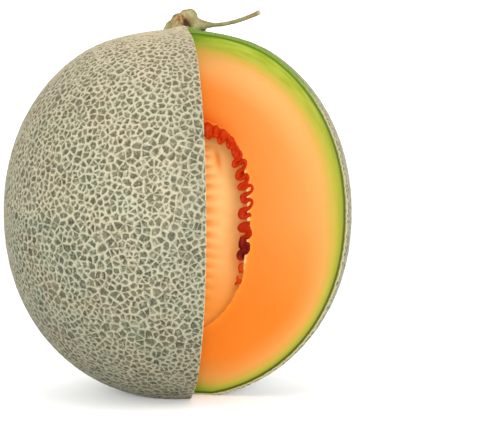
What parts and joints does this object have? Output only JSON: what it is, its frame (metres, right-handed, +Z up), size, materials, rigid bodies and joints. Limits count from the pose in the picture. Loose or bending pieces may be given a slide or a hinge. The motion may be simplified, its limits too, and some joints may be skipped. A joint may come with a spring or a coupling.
{
  "type": "cantaloupe melon",
  "caption": "Netted cantaloupe melon standing on its blossom end, with a wedge cut out that opens its orange flesh and seed cavity, and a dry stem on top.",
  "frame": {"origin": "middle of the flat spot on the blossom end that the melon rests on", "axes": "+Z up along the melon's axis to the stem, -Y out of the middle of the missing wedge"},
  "size_m": [0.165, 0.1521, 0.1843],
  "materials": {
    "netted_rind": "matte",
    "flesh": "satin",
    "dry_stem": "matte"
  },
  "bodies": {
    "root": {"melon": "netted_rind", "stem": "dry_stem"}
  },
  "joints": []
}
